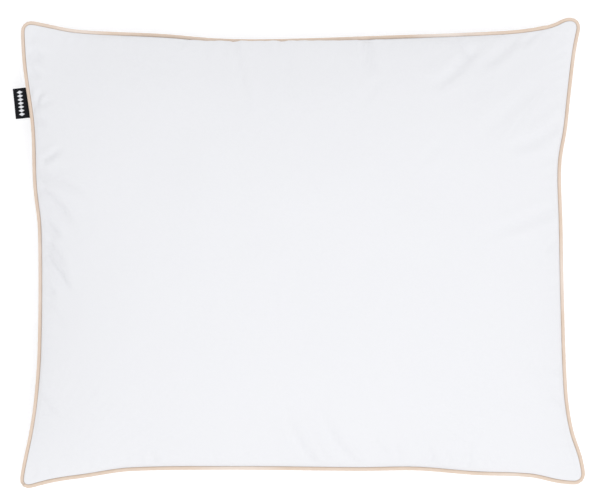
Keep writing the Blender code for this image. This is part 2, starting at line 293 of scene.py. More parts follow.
class Finish:
    def __init__(self, name):
        self.material = bpy.data.materials.new(name)
        self.material.use_nodes = True
        self.tree = self.material.node_tree
        self.shader = self.tree.nodes["Principled BSDF"]

    def node(self, kind, settings=None, inputs=None, output=0):
        made = self.tree.nodes.new(kind)
        for key, value in (settings or {}).items():
            if key == "stops":
                self.setStops(made.color_ramp, value)
            else:
                setattr(made, key, value)
        for key, value in (inputs or {}).items():
            self.feed(made.inputs[key], value)
        return Signal(self, made.outputs[output])

    def setStops(self, ramp, stops):
        while len(ramp.elements) < len(stops):
            ramp.elements.new(1)
        for element, (place, color) in zip(ramp.elements, stops):
            element.position = place
            element.color = color

    def feed(self, socket, value):
        if isinstance(value, Signal):
            self.tree.links.new(value.socket, socket)
        else:
            socket.default_value = value

    def maths(self, operation, a, b=0.0):
        return self.node("ShaderNodeMath", {"operation": operation}, {0: a, 1: b})

    def clampedSum(self, a, b):
        return self.node("ShaderNodeMath", {"operation": "ADD", "use_clamp": True}, {0: a, 1: b})

    def mixColors(self, factor, a, b):
        return self.node("ShaderNodeMix", {"data_type": "RGBA"}, {0: factor, 6: a, 7: b}, output=2)

    def attribute(self, name):
        return self.node("ShaderNodeAttribute", {"attribute_name": name}, output="Vector")

    def parts(self, vector):
        split = self.node("ShaderNodeSeparateXYZ", inputs={0: vector})
        outputs = split.socket.node.outputs
        return [Signal(self, outputs[k]) for k in range(3)]

    def noise(self, vector, scale, detail=2.0, roughness=0.5, distortion=0.0):
        inputs = {"Vector": vector, "Scale": scale, "Detail": detail, "Roughness": roughness,
                  "Distortion": distortion}
        return self.node("ShaderNodeTexNoise", {"noise_dimensions": "3D"}, inputs)

    def wave(self, phase):
        return self.maths("SINE", phase)

    def bump(self, height, distance, under=None):
        inputs = {"Distance": distance, "Height": height}
        if under:
            inputs["Normal"] = under
        return self.node("ShaderNodeBump", inputs=inputs)

    def set(self, **sockets):
        names = {"color": "Base Color", "roughness": "Roughness", "normal": "Normal",
                 "sheen": "Sheen Weight", "sheenRoughness": "Sheen Roughness",
                 "sheenTint": "Sheen Tint", "specular": "Specular IOR Level"}
        for key, value in sockets.items():
            self.feed(self.shader.inputs[names[key]], value)
        return self.material


# Casing cloth: white downproof cotton, a fine plain weave with faint slubs and laundering crinkles.
cotton = {
    "color": (0.824, 0.829, 0.849, 1),
    "deeper": (0.804, 0.809, 0.831, 1),
    "thread": 0.00045,        # from one yarn to the next
    "roughness": 0.78,
    "sheen": 0.12,
    "weaveDepth": 0.00003,
    "crinkleDepth": 0.0007,
    "slubScale": 900.0,       # features to the metre
    "crinkleScale": 55.0,
    "patchScale": 9.0,
}


def cottonFinish():
    finish = Finish("whiteCotton")
    flat = finish.attribute("clothFlat")
    x, y, _ = finish.parts(flat)
    pitch = math.tau / cotton["thread"] / 2
    weave = finish.wave(x * pitch) * finish.wave(y * pitch)
    slub = finish.noise(flat, cotton["slubScale"])
    crinkle = finish.noise(flat, cotton["crinkleScale"], detail=5.0, roughness=0.55, distortion=0.4)
    broad = finish.noise(flat, cotton["patchScale"], detail=3.0)
    under = finish.bump(crinkle, cotton["crinkleDepth"])
    normal = finish.bump(weave * 0.7 + slub * 0.6, cotton["weaveDepth"], under=under)
    patch = finish.clampedSum(broad * 0.7, slub * 0.3)
    return finish.set(
        color=finish.mixColors(patch, cotton["color"], cotton["deeper"]),
        roughness=slub * 0.08 + (cotton["roughness"] - 0.04), normal=normal,
        sheen=cotton["sheen"], sheenRoughness=0.5, specular=0.3)


# Piping cover: champagne satin cut on the bias, so that its yarns run slanting round the cord.
satin = {
    "color": (0.79, 0.65, 0.54, 1),
    "deeper": (0.70, 0.55, 0.43, 1),
    "pale": (0.87, 0.79, 0.73, 1),
    "roughness": 0.42,
    "sheen": 0.35,
    "sheenTint": (1.0, 0.93, 0.87, 1),
    "yarn": 0.0005,           # from one slanting yarn to the next
    "yarnDepth": 0.00002,
    "ripples": (120, 420, 1),     # to the metre, along and across the slant
    "rippleDepth": 0.0004,
    "blotchScale": 60.0,
    # painted highlight: random pale stretches along the strip, drawn as if the satin caught the light there
    "highlightScale": 7.0,
    "highlightContrast": 4.0,
    "highlightLevel": -2.1,        # lower leaves fewer pale stretches of painted highlight
}


def satinFinish():
    finish = Finish("champagneSatin")
    flat = finish.attribute("clothFlat")
    x, y, _ = finish.parts(flat)
    slant = finish.wave((x + y) * (math.tau / satin["yarn"]))
    turned = finish.node("ShaderNodeMapping", inputs={
        "Vector": flat, "Rotation": (0, 0, math.radians(45)), "Scale": satin["ripples"]})
    ripple = finish.noise(turned, 1.0)
    blotch = finish.noise(flat, satin["blotchScale"])
    # painted highlight: the strip turns pale in random stretches, as if catching the light
    highlightNoise = finish.noise(flat, satin["highlightScale"], detail=1.0)
    paintedHighlight = finish.clampedSum(highlightNoise * satin["highlightContrast"], satin["highlightLevel"])
    under = finish.bump(ripple, satin["rippleDepth"])
    dyed = finish.mixColors(blotch, satin["color"], satin["deeper"])
    return finish.set(
        color=finish.mixColors(paintedHighlight, dyed, satin["pale"]),
        roughness=blotch * 0.1 + (satin["roughness"] - 0.05),
        normal=finish.bump(slant, satin["yarnDepth"], under=under),
        sheen=satin["sheen"], sheenRoughness=0.35, sheenTint=satin["sheenTint"], specular=0.5)


# Plain finishes, of two tones with a fine grain: the filling, the cord and the threads
plain = {
    "looseFibre": {
        "color": (0.88, 0.88, 0.87, 1), "deeper": (0.80, 0.80, 0.78, 1),
        "roughness": 0.95, "grain": 300.0, "depth": 0.002,
    },
    "cottonCord": {
        "color": (0.80, 0.77, 0.70, 1), "deeper": (0.70, 0.66, 0.58, 1),
        "roughness": 0.9, "grain": 1800.0, "depth": 0.0003,
    },
    "sewingThread": {
        "color": (0.86, 0.86, 0.86, 1), "deeper": (0.76, 0.76, 0.76, 1),
        "roughness": 0.55, "grain": 4000.0, "depth": 0.0001,
    },
}


def plainFinish(name):
    look = plain[name]
    finish = Finish(name)
    place = finish.node("ShaderNodeTexCoord", output="Object")
    grain = finish.noise(place, look["grain"], detail=4.0, roughness=0.6)
    return finish.set(
        color=finish.mixColors(grain, look["color"], look["deeper"]),
        roughness=grain * 0.1 + (look["roughness"] - 0.05),
        normal=finish.bump(grain, look["depth"]), sheen=0.1, specular=0.3)


cottonMaterial = cottonFinish()
satinMaterial = satinFinish()
fibreMaterial = plainFinish("looseFibre")
cordMaterial = plainFinish("cottonCord")
threadMaterial = plainFinish("sewingThread")
print("materials made")

# Casing: two panels cut as flat rounded rectangles and blown up by the filling inside them.
casing = {
    "columns": 100,
    "rows": 84,
    "cutRadius": 0.013,       # rounding of the cut panels' corners
    "relaxing": 8,
    "crowding": 0.45,         # how much closer the grid lies near the seam
    "cornerThin": 0.3,        # how much flatter it starts at the corners
    "cornerStart": 0.45,      # where a corner begins, as the product of both shares
    "cornerSpan": 0.5,
    "startCrown": 0.066,
    "baseCrown": 0.074,
    "lumps": 0.0025,          # unevenness of the filling before it is blown up
    "lumpLength": 0.06,
    "floorDrop": 0.0016,      # the simulation's floor is this much under the real one
    "frames": 30,
    "quality": 6,
    "pressure": 2.0,
    "ease": 1.012,            # cloth cut this much larger than the seam it is sewn to
    "tension": 20.0,
    "compression": 10.0,
    "shear": 8.0,
    "bending": 0.02,
    "mass": 0.15,
    "airDamping": 3.0,
    "contact": 0.001,         # distance at which cloth meets the floor
    "foldSteps": 6,
    "clearing": 0.02,         # cloth this near the seam is kept off the piping
    "underSeam": 0.0005,      # and this far past the level of the seam
    "settling": 0.0008,       # how softly the underside meets the floor
}


def spacing(steps):
    # shares along a side, closer together towards its ends
    t = np.arange(steps) / steps
    return t - casing["crowding"] * np.sin(math.tau * t) / math.tau


def ringDistances(columns, rows):
    steps = [columns, rows, columns, rows]
    ends = [*cornerTravel[1:], seamTotal]
    return np.concatenate([a + (b - a) * spacing(n) for a, b, n in zip(cornerTravel, ends, steps)])


def sideLengths():
    ends = np.diff([*cornerTravel, seamTotal])
    return (ends[0] + ends[2]) / 2, (ends[1] + ends[3]) / 2


def cutSize():
    # length and width of one cut panel between its stitch lines
    arc = math.pi * casing["cutRadius"] / 4
    return [run - 2 * arc + 2 * casing["cutRadius"] for run in sideLengths()]


def flatRing(columns, rows):
    # stitch line of one cut panel lying flat, as long as the seam
    radius = casing["cutRadius"]
    arc = math.pi * radius / 4
    size = cutSize()
    ring = []
    for side, steps in enumerate([columns, rows, columns, rows]):
        run = sideLengths()[side % 2]
        alongHalf, acrossHalf = size[side % 2] / 2, size[(side + 1) % 2] / 2
        arcMiddle = -acrossHalf + radius
        turn = side * math.pi / 2
        for s in run * spacing(steps):
            if s < arc:
                angle = -0.75 * math.pi + s / radius
                x = -alongHalf + radius + radius * math.cos(angle)
                y = arcMiddle + radius * math.sin(angle)
            elif s > run - arc:
                angle = -0.5 * math.pi + (s - run + arc) / radius
                x = alongHalf - radius + radius * math.cos(angle)
                y = arcMiddle + radius * math.sin(angle)
            else:
                x = -alongHalf + radius + s - arc
                y = -acrossHalf
            ring.append((x * math.cos(turn) - y * math.sin(turn), x * math.sin(turn) + y * math.cos(turn), 0))
    return np.array(ring)


def fillGrid(ring, columns, rows, relaxing):
    # grid of points inside a closed ring, evened out
    front = ring[:columns + 1]
    right = ring[columns:columns + rows + 1]
    back = ring[columns + rows:2 * columns + rows + 1][::-1]
    left = np.vstack([ring[2 * columns + rows:], ring[:1]])[::-1]
    a = np.linspace(0, 1, columns + 1)[:, None, None]
    b = np.linspace(0, 1, rows + 1)[None, :, None]
    grid = (1 - b) * front[:, None] + b * back[:, None] + (1 - a) * left[None] + a * right[None]
    grid -= (1 - a) * (1 - b) * ring[0] + a * (1 - b) * ring[columns]
    grid -= a * b * ring[columns + rows] + (1 - a) * b * ring[2 * columns + rows]
    for _ in range(relaxing):
        grid[1:-1, 1:-1] = (grid[2:, 1:-1] + grid[:-2, 1:-1] + grid[1:-1, 2:] + grid[1:-1, :-2]) / 4
    return grid


def ringIndices(columns, rows, tall):
    # places of the grid's border vertices, in the order of the ring
    places = [(i, 0) for i in range(columns)] + [(columns, j) for j in range(rows)]
    places += [(i, rows) for i in range(columns, 0, -1)] + [(0, j) for j in range(rows, 0, -1)]
    return [i * tall + j for i, j in places]


def startGrids(columns, rows):
    distances = ringDistances(columns, rows)
    flat = fillGrid(flatRing(columns, rows), columns, rows, casing["relaxing"])
    half = np.array(cutSize()) / 2
    share = flat[..., :2] / half
    corner = smoothStep((np.abs(share).prod(axis=-1) - casing["cornerStart"]) / casing["cornerSpan"])
    swell = np.clip((1 - share ** 2).prod(axis=-1), 0, 1) ** (0.5 + casing["cornerThin"] * corner)
    grids = []
    for side, crown in ((1, casing["startCrown"]), (-1, -casing["baseCrown"])):
        ring = sectionAt(distances, -layers["foldInset"], side * panelU)
        grid = fillGrid(ring, columns, rows, casing["relaxing"])
        lumps = noiseAt(grid.reshape(-1, 3), casing["lumpLength"], 3 + side).reshape(grid.shape[:2])
        grid[..., 2] += swell * crown + swell * side * lumps * casing["lumps"]
        if side < 0:
            grid[..., 2] = np.maximum(grid[..., 2], layers["casing"] / 2)
        grids.append(grid)
    return flat, grids


def inflate(flat, grids, columns, rows):
    # blows the casing up from its flat cut with Blender's cloth, over a floor, and returns its grids
    tall = rows + 1
    count = (columns + 1) * tall
    border = ringIndices(columns, rows, tall)
    faces = gridFaces(columns, rows) + gridFaces(columns, rows, first=count, flip=True)
    for k, a in enumerate(border):
        b = border[(k + 1) % len(border)]
        faces.append((a + count, b + count, b, a))
    mesh = bpy.data.meshes.new("inflating")
    mesh.from_pydata([tuple(v) for grid in grids for v in grid.reshape(-1, 3)], [], faces)
    obj = bpy.data.objects.new("inflating", mesh)
    scene.collection.objects.link(obj)
    obj.shape_key_add(name="start")
    rest = obj.shape_key_add(name="cut")
    sheet = (flat * casing["ease"]).reshape(-1, 3)
    cut = np.concatenate([sheet + [0, 0, panelU], sheet + [0, 0, -panelU]])
    rest.data.foreach_set("co", cut.astype(np.float32).ravel())
    pins = obj.vertex_groups.new(name="seam")
    pins.add(border + [a + count for a in border], 1.0, "REPLACE")
    floor = squareObject("rest", 1, -casing["floorDrop"])
    floor.modifiers.new("collision", "COLLISION")
    floor.collision.thickness_outer = casing["contact"]
    cloth = obj.modifiers.new("cloth", "CLOTH")
    settings = cloth.settings
    settings.quality = casing["quality"]
    settings.mass = casing["mass"]
    settings.tension_stiffness = casing["tension"]
    settings.compression_stiffness = casing["compression"]
    settings.shear_stiffness = casing["shear"]
    settings.bending_stiffness = casing["bending"]
    settings.air_damping = casing["airDamping"]
    settings.rest_shape_key = rest
    settings.vertex_group_mass = "seam"
    settings.use_pressure = True
    settings.uniform_pressure_force = casing["pressure"]
    settings.effector_weights.gravity = 0
    cloth.collision_settings.use_collision = True
    cloth.collision_settings.distance_min = casing["contact"]
    cloth.collision_settings.use_self_collision = False
    cloth.point_cache.frame_end = casing["frames"]
    for number in range(1, casing["frames"] + 1):
        scene.frame_set(number)
    blown = obj.evaluated_get(bpy.context.evaluated_depsgraph_get())
    points = np.empty(len(blown.data.vertices) * 3)
    blown.data.vertices.foreach_get("co", points)
    scene.frame_set(1)
    bpy.data.objects.remove(obj)
    bpy.data.objects.remove(floor)
    points = points.reshape(2, columns + 1, tall, 3)
    return [points[0], points[1]]


# Creases of the top panel, in plan: start, end, width, depth, and how far it bows.
# The bottom panel has them too, mirrored front to back.
creases = [
    ((-0.274, 0.094), (-0.248, 0.109), 0.0035, 0.0032, 0.0005),
    ((-0.276, 0.090), (-0.239, 0.078), 0.0050, 0.0020, 0.0000),
    ((-0.276, 0.084), (-0.217, 0.053), 0.0045, 0.0027, 0.0010),
    ((-0.276, 0.068), (-0.232, 0.019), 0.0050, 0.0041, 0.0010),
    ((-0.271, 0.033), (-0.249, 0.010), 0.0040, 0.0030, 0.0000),
    ((-0.266, 0.010), (-0.242, -0.025), 0.0035, 0.0030, 0.0000),
    ((-0.270, -0.002), (-0.237, -0.050), 0.0040, 0.0038, 0.0010),
    ((-0.272, -0.028), (-0.256, -0.054), 0.0040, 0.0022, 0.0000),
    ((-0.271, -0.050), (-0.246, -0.083), 0.0040, 0.0014, 0.0010),
    ((-0.279, -0.152), (-0.249, -0.177), 0.0040, 0.0018, -0.0020),
    ((-0.291, 0.215), (-0.273, 0.205), 0.0050, 0.0027, 0.0000),
    ((-0.290, 0.194), (-0.276, 0.183), 0.0040, 0.0024, 0.0000),
    ((-0.285, 0.157), (-0.272, 0.174), 0.0035, 0.0030, 0.0000),
    ((-0.282, 0.155), (-0.258, 0.161), 0.0030, 0.0019, 0.0000),
    ((-0.282, 0.143), (-0.268, 0.129), 0.0050, 0.0020, 0.0000),
    ((-0.116, 0.224), (-0.135, 0.209), 0.0030, 0.0012, 0.0000),
    ((-0.102, 0.226), (-0.101, 0.192), 0.0040, 0.0010, 0.0000),
    ((-0.075, 0.225), (-0.055, 0.132), 0.0040, 0.0015, 0.0030),
    ((-0.020, 0.224), (-0.007, 0.132), 0.0060, 0.0009, 0.0000),
    ((0.068, 0.225), (0.078, 0.181), 0.0060, 0.0030, -0.0030),
    ((0.079, 0.177), (0.059, 0.143), 0.0050, 0.0010, 0.0000),
    ((0.140, 0.227), (0.163, 0.219), 0.0030, 0.0012, 0.0000),
    ((0.164, 0.226), (0.180, 0.201), 0.0050, 0.0025, 0.0000),
    ((0.182, 0.212), (0.130, 0.164), 0.0060, 0.0030, 0.0020),
    ((0.228, 0.228), (0.180, 0.187), 0.0060, 0.0026, 0.0020),
    ((0.248, 0.233), (0.230, 0.215), 0.0040, 0.0015, 0.0000),
    ((0.247, 0.175), (0.175, 0.111), 0.0080, 0.0016, 0.0020),
    ((0.280, 0.141), (0.203, 0.102), 0.0060, 0.0026, 0.0060),
    ((0.276, 0.049), (0.181, 0.013), 0.0060, 0.0024, 0.0020),
    ((0.275, 0.017), (0.252, -0.002), 0.0040, 0.0018, 0.0020),
    ((0.262, 0.010), (0.258, -0.016), 0.0025, 0.0008, 0.0000),
    ((0.141, 0.109), (0.120, 0.083), 0.0050, 0.0008, 0.0000),
    ((0.019, -0.227), (-0.017, -0.155), 0.0050, 0.0024, 0.0080),
    ((0.005, -0.226), (-0.001, -0.219), 0.0025, 0.0010, 0.0000),
    ((0.062, -0.227), (0.020, -0.159), 0.0050, 0.0026, 0.0080),
    ((0.097, -0.219), (0.069, -0.190), 0.0025, 0.0009, 0.0000),
    ((0.107, -0.227), (0.092, -0.189), 0.0050, 0.0012, 0.0000),
    ((0.141, -0.228), (0.131, -0.200), 0.0035, 0.0020, 0.0000),
    ((0.158, -0.228), (0.148, -0.206), 0.0035, 0.0012, 0.0000),
    ((0.180, -0.229), (0.175, -0.197), 0.0035, 0.0018, 0.0010),
    ((0.284, -0.164), (0.262, -0.144), 0.0050, 0.0015, 0.0020),
    ((0.296, -0.235), (0.275, -0.175), 0.0040, 0.0016, -0.0030),
    ((0.281, -0.131), (0.261, -0.118), 0.0040, 0.0014, 0.0000),
    ((-0.151, -0.230), (-0.161, -0.207), 0.0040, 0.0015, 0.0010),
    ((-0.088, -0.229), (-0.094, -0.205), 0.0040, 0.0011, 0.0010),
    ((-0.029, -0.017), (-0.028, -0.107), 0.0030, 0.0004, 0.0010),
]
creaseForm = {
    "leftLip": 0.42,          # heights of the two lips, as shares of the depth
    "rightLip": 0.30,
    "lipPlace": 1.8,          # distance from valley to lip, in widths
    "lipWidth": 1.1,
    "fadeOut": 0.55,          # shares of the length over which the end and the start fade
    "fadeIn": 0.25,
    "lead": 0.15,             # how far ahead of the start it begins, as a share too
    "seamFade": 0.004,
}
puckers = {
    "depth": 0.0011,
    "wavelength": 0.015,
    "reach": 0.016,           # how far in from the seam they fade
    "start": 0.0025,
    "rise": 0.006,            # from their start to full depth
    "slant": 0.012,           # how far in from the seam they lean by one radian
    "warp": 5.0,              # unevenness of their spacing, and its scale
    "warpLength": 0.045,
    "share": 0.35,            # how much of the seam has them, and its scale
    "shareLength": 0.06,
    "span": 0.31,             # half the length of the line that they are sampled on
    "samples": 400,
}
bulge = {                     # where the filling pushes the top panel out over the piping
    "middle": -0.035,         # along the back
    "spread": 0.15,
    "out": 0.0068,
    "reach": 0.045,
    "seamFade": 0.007,
}


def refine(grid):
    # twice as many cells through the same points
    for axis in (0, 1):
        grid = np.swapaxes(grid, 0, axis)
        longer = np.concatenate([2 * grid[:1] - grid[1:2], grid, 2 * grid[-1:] - grid[-2:-1]])
        middle = (9 * (longer[1:-2] + longer[2:-1]) - longer[:-3] - longer[3:]) / 16
        fine = np.empty((2 * len(grid) - 1, *grid.shape[1:]))
        fine[::2] = grid
        fine[1::2] = middle
        grid = np.swapaxes(fine, 0, axis)
    return grid


def setBorder(grid, ring):
    shape = grid.shape
    flatView = grid.reshape(-1, 3)
    flatView[ringIndices(shape[0] - 1, shape[1] - 1, shape[1])] = ring
    return flatView.reshape(shape)


def gridNormals(grid, side):
    across = np.cross(np.gradient(grid, axis=0), np.gradient(grid, axis=1))
    return side * across / np.linalg.norm(across, axis=-1, keepdims=True)


def creaseHeight(plan, mirror):
    # valley with a soft lip on each side along every crease, deepest near its start
    form = creaseForm
    height = np.zeros(plan.shape[:2])
    for start, end, width, depth, bow in creases:
        a, b = np.array(start) * mirror, np.array(end) * mirror
        length = np.linalg.norm(b - a)
        way = (b - a) / length
        t = ((plan - a) @ way) / length
        off = (plan - a) @ np.array([-way[1], way[0]]) - bow * 4 * t * (1 - t)
        s = off / width
        leftLip = form["leftLip"] * np.exp(-((s - form["lipPlace"]) / form["lipWidth"]) ** 2)
        rightLip = form["rightLip"] * np.exp(-((s + form["lipPlace"]) / form["lipWidth"]) ** 2)
        across = leftLip + rightLip - np.exp(-s ** 2)
        fadeOut = smoothStep((1 - t) / form["fadeOut"])
        height += depth * across * fadeOut * smoothStep((t + form["lead"]) / form["fadeIn"])
    return height


def puckerHeight(flat, seed):
    # short ripples square to each side's seam, uneven in depth and spacing
    half = np.array(cutSize()) / 2
    height = np.zeros(flat.shape[:2])
    for axis, sign in ((0, -1), (0, 1), (1, -1), (1, 1)):
        inward = half[axis] - sign * flat[..., axis]
        along = flat[..., 1 - axis]
        line = np.linspace(-puckers["span"], puckers["span"], puckers["samples"])
        spots = [(v, 0.7 * sign * (axis + 1), seed) for v in line]
        warp = np.interp(along, line, noiseAt(spots, puckers["warpLength"], seed)) * puckers["warp"]
        amount = np.clip(puckers["share"] + noiseAt(spots, puckers["shareLength"], seed + 9), 0, 1)
        strength = np.interp(along, line, amount)
        wave = np.sin(math.tau * along / puckers["wavelength"] + warp + inward / puckers["slant"])
        start = smoothStep((inward - puckers["start"]) / puckers["rise"])
        fade = start * np.exp(-(inward / puckers["reach"]) ** 2)
        height += puckers["depth"] * strength * wave * fade
    return height


def clearPiping(points, side):
    # pushes cloth off the round of the piping; points are near the seam
    tree = KDTree(len(seamPoints))
    for k, p in enumerate(seamPoints):
        tree.insert(p, k)
    tree.balance()
    least = coverOuter + layers["casing"] / 2 + layers["fit"]
    moved = points.copy()
    for k, p in enumerate(points):
        station = tree.find(p)[1]
        out = seamOuts[station]
        offset = p - seamPoints[station]
        n, u = offset @ out - cordN, offset[2]
        distance = math.hypot(n, u)
        if distance < least and side * u > -casing["underSeam"]:
            scale = least / max(distance, 1e-6)
            moved[k] = p + out * n * (scale - 1) + up * u * (scale - 1)
    return moved


def finishGrid(grid, flat, side):
    # fine grid of one panel with its creases, puckers and bulge
    fineColumns, fineRows = 2 * columns, 2 * rows
    flatFine = setBorder(refine(flat), flatRing(fineColumns, fineRows))
    fine = refine(grid)
    ring = sectionAt(ringDistances(fineColumns, fineRows), -layers["foldInset"], side * panelU)
    fine = setBorder(fine, ring)
    half = np.array(cutSize()) / 2
    inward = np.minimum(half[0] - np.abs(flatFine[..., 0]), half[1] - np.abs(flatFine[..., 1]))
    height = creaseHeight(fine[..., :2], np.array([1, 1]) if side > 0 else np.array([1, -1]))
    height = height * smoothStep(inward / creaseForm["seamFade"]) + puckerHeight(flatFine, 4 + side)
    fine = fine + gridNormals(fine, side) * height[..., None]
    if side > 0:
        fromBack = half[1] - flatFine[..., 1]
        push = bulge["out"] * np.exp(-((flatFine[..., 0] - bulge["middle"]) / bulge["spread"]) ** 2)
        push = push * smoothStep(fromBack / bulge["seamFade"])
        push = push * smoothStep((bulge["reach"] - fromBack) / bulge["reach"])
        fine[..., 1] += push
    near = inward < casing["clearing"]
    near[0] = near[-1] = near[:, 0] = near[:, -1] = False
    fine[near] = clearPiping(fine[near], side)
    if side < 0:
        floor = layers["casing"] / 2
        soft = casing["settling"]
        fine[..., 2] = floor + np.logaddexp(0, (fine[..., 2] - floor) / soft) * soft
        fine = setBorder(fine, ring)
    return fine, flatFine


def makePanel(name, grid, flat, side):
    # crowned cloth, the fold at the stitch line and the allowance turned in behind it
    fineColumns, fineRows = grid.shape[0] - 1, grid.shape[1] - 1
    distances = ringDistances(fineColumns, fineRows)
    folds = casing["foldSteps"]
    angles = [math.pi / 2 - math.pi * k / folds for k in range(1, folds + 1)]
    section = [(foldRadius * math.cos(a) - layers["foldInset"], foldRadius * math.sin(a) + threadU)
               for a in angles]
    inner = -layers["allowance"]
    section += [(inner * 0.5, allowanceU), (inner, allowanceU)]
    vertices = [grid.reshape(-1, 3)]
    flats = [flat.reshape(-1, 3)]
    faces = gridFaces(fineColumns, fineRows, flip=side < 0)
    border = ringIndices(fineColumns, fineRows, fineRows + 1)
    before = border
    count = len(vertices[0])
    ringFlat = flatRing(fineColumns, fineRows)
    tangent = np.roll(ringFlat, -1, axis=0) - np.roll(ringFlat, 1, axis=0)
    flatOut = np.cross(tangent / np.linalg.norm(tangent, axis=1)[:, None], up)
    travelled, last = 0, (-layers["foldInset"], panelU)
    for n, u in section:
        travelled += math.dist((n, u), last)
        last = (n, u)
        vertices.append(sectionAt(distances, n, side * u))
        flats.append(ringFlat + flatOut * travelled)
        row = list(range(count, count + len(border)))
        count += len(border)
        for k in range(len(border)):
            m = (k + 1) % len(border)
            quad = (before[k], row[k], row[m], before[m])
            faces.append(quad if side > 0 else quad[::-1])
        before = row
    obj = meshObject(name, np.concatenate(vertices), faces, cottonMaterial, np.concatenate(flats))
    thicken(obj, layers["casing"])
    turned = 2 * (math.pi * foldRadius + layers["allowance"] - layers["foldInset"])
    return obj, [round(v * casing["ease"] + turned, 3) for v in cutSize()]


columns, rows = casing["columns"], casing["rows"]
flatGrid, (topGrid, bottomGrid) = startGrids(columns, rows)
topGrid, bottomGrid = inflate(flatGrid, [topGrid, bottomGrid], columns, rows)
print("casing blown up")

topFine, topFlat = finishGrid(topGrid, flatGrid, 1)
bottomFine, bottomFlat = finishGrid(bottomGrid, flatGrid, -1)
topPanel, topCut = makePanel("topPanel", topFine, topFlat, 1)
bottomPanel, bottomCut = makePanel("bottomPanel", bottomFine, bottomFlat, -1)
print("panels made, each cut to", topCut)

# Filling: loose fibre inside the casing, drawn to a blunt edge behind the turned-in cloth.
fibre = {
    "rim": 2,                 # cells of the panels' grids outside it
    "gap": 0.0016,
    "fluff": 0.0009,
    "tuft": 0.012,
    "wisp": 0.005,
    "edge": 0.0012,           # behind the allowance
    "fill": 0.8,
}


def makeFilling():
    rim = fibre["rim"]
    insideColumns, insideRows = columns - 2 * rim, rows - 2 * rim
    tall = insideRows + 1
    count = (insideColumns + 1) * tall
    vertices, faces = [], []
    for side, fine in ((1, topFine), (-1, bottomFine)):
        grid = fine[::2, ::2].copy()
        if side > 0:
            nearby = [fine[2 + i:fine.shape[0] - 2 + i:2, 2 + j:fine.shape[1] - 2 + j:2, 2]
                      for i in (-1, 0, 1) for j in (-1, 0, 1)]
            grid[1:-1, 1:-1, 2] = np.min(nearby, axis=0)
        normals = gridNormals(grid, side)[rim:-rim, rim:-rim].reshape(-1, 3)
        points = grid[rim:-rim, rim:-rim].reshape(-1, 3)
        tufts = np.abs(noiseAt(points, fibre["tuft"], 20 + side))
        tufts += 0.5 * np.abs(noiseAt(points, fibre["wisp"], 30 + side))
        points = points - normals * (fibre["gap"] + fibre["fluff"] * tufts)[:, None]
        points[:, 2] = np.maximum(points[:, 2], layers["casing"] + fibre["gap"] / 2)
        vertices.append(points)
        faces += gridFaces(insideColumns, insideRows, first=0 if side > 0 else count, flip=side < 0)
    border = ringIndices(insideColumns, insideRows, tall)
    distances = ringDistances(insideColumns, insideRows)
    vertices.append(sectionAt(distances, -layers["allowance"] - fibre["edge"], 0.0))
    for k in range(len(border)):
        m = (k + 1) % len(border)
        noseK, noseM = 2 * count + k, 2 * count + m
        faces.append((border[k], noseK, noseM, border[m]))
        faces.append((noseK, border[k] + count, border[m] + count, noseM))
    return meshObject("fibreFilling", np.concatenate(vertices), faces, fibreMaterial)


fibreFilling = makeFilling()
print("filling made")

# Piping: a bias strip of satin round a twisted cord, sewn in with the seam.
piping = {
    "stations": 860,
    "roundPoints": 22,
    "wobble": 0.00010,        # unevenness of its run, and its scales outward and upward
    "wobbleLengths": (0.035, 0.045),
    "swell": 0.03,            # unevenness of its radius, as a share, and its scale
    "swellLength": 0.05,
    "ripple": 0.00005,        # pull marks of the bias, slanting round it
    "rippleLength": 0.0085,
    "rippleSlant": 2.2,
    "rippleWarp": 3.0,
    "rippleWarpLength": 0.02,
    "joinAt": 0.263,          # where the strip's ends overlap, along the back
    "joinLength": 0.013,
    "joinRise": 0.00042,
    "joinSlant": 0.004,
    "joinStep": 0.0009,       # length of the step where the overlap starts
    "joinEnd": 0.004,         # and of the slope where it ends
    "joinSteps": 42,
}


def joinDistance():
    # distance along the seam of the overlap, on the back side
    distances = np.linspace(cornerTravel[2], cornerTravel[3], 600)
    points, _ = seamAt(distances)
    return distances[int(np.argmin(np.abs(points[:, 0] - piping["joinAt"])))]


def alongNoise(distances, scale, seed):
    # noise along the seam that meets itself after a full turn
    angle = np.asarray(distances) / seamTotal * math.tau
    reach = seamTotal / math.tau
    return noiseAt(np.stack([np.cos(angle) * reach, np.sin(angle) * reach, angle * 0], axis=-1), scale, seed)


